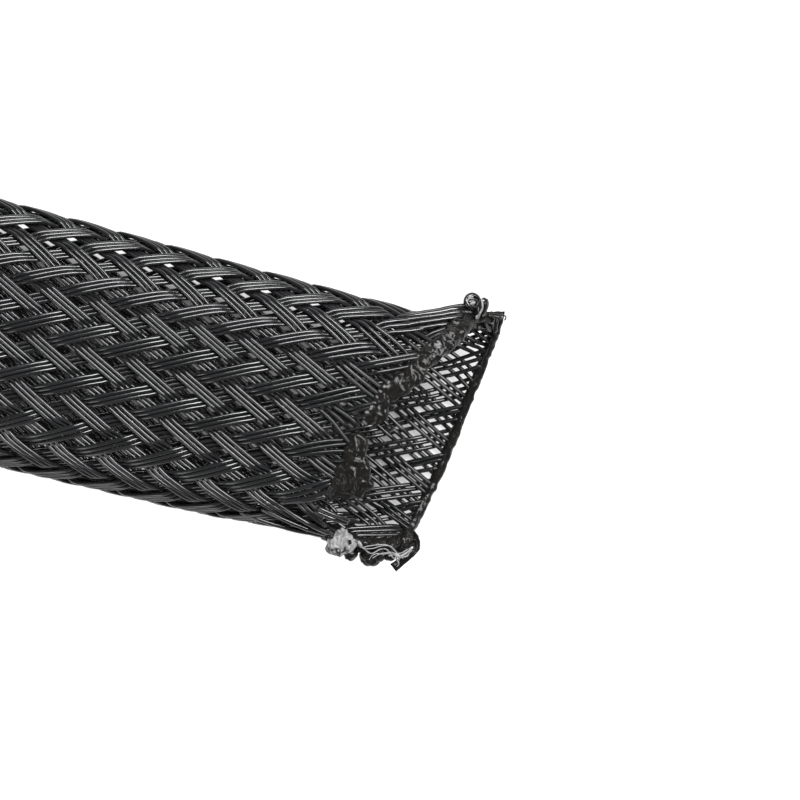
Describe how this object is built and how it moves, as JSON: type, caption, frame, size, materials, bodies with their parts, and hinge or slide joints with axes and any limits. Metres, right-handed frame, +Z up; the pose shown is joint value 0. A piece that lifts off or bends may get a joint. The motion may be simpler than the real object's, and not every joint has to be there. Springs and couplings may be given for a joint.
{
  "type": "braided cable sleeve",
  "caption": "Flattened length of expandable black braided sleeve with an open bore, a ragged heat-cut mouth at one end and a plain sealed cut at the other.",
  "frame": {"origin": "on the floor, on the flat underside, under the middle of the sleeve's length and width", "axes": "+X along the sleeve, towards the ragged mouth; +Z up, away from the underside; +Y across the sleeve, towards the corner of the mouth that is pulled outwards"},
  "size_m": [0.3049, 0.0137, 0.0067],
  "materials": {
    "braid": "glossy black monofilament, melted and scuffed at the cut ends"
  },
  "bodies": {
    "root": {"braided_sleeve": "braid"}
  },
  "joints": []
}
